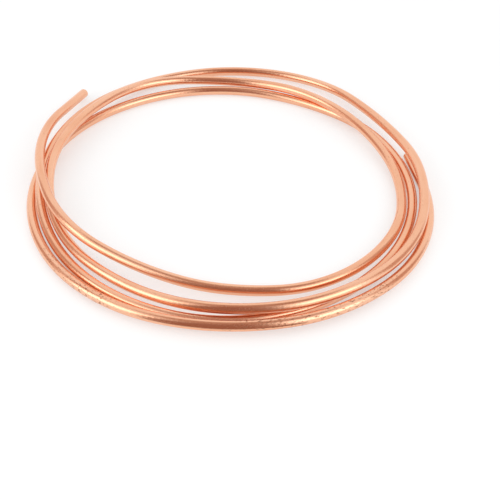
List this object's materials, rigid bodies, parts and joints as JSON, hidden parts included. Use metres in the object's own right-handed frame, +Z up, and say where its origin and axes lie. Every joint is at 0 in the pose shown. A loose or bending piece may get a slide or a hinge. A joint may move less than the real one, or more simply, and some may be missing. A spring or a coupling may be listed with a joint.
{
  "type": "coiled copper pipe",
  "caption": "Thin copper pipe in a loose coil that lies flat, its turns side by side and crossing, with both ends cut square.",
  "frame": {"origin": "on the floor under the middle of the coil's bounding box", "axes": "+Z up from the floor, +Y away from the picture's camera, +X to the right in the picture"},
  "size_m": [0.2594, 0.2737, 0.0218],
  "materials": {
    "copper": "bright bare copper, smooth drawn surface"
  },
  "bodies": {
    "root": {"copper_pipe": "copper"}
  },
  "joints": []
}
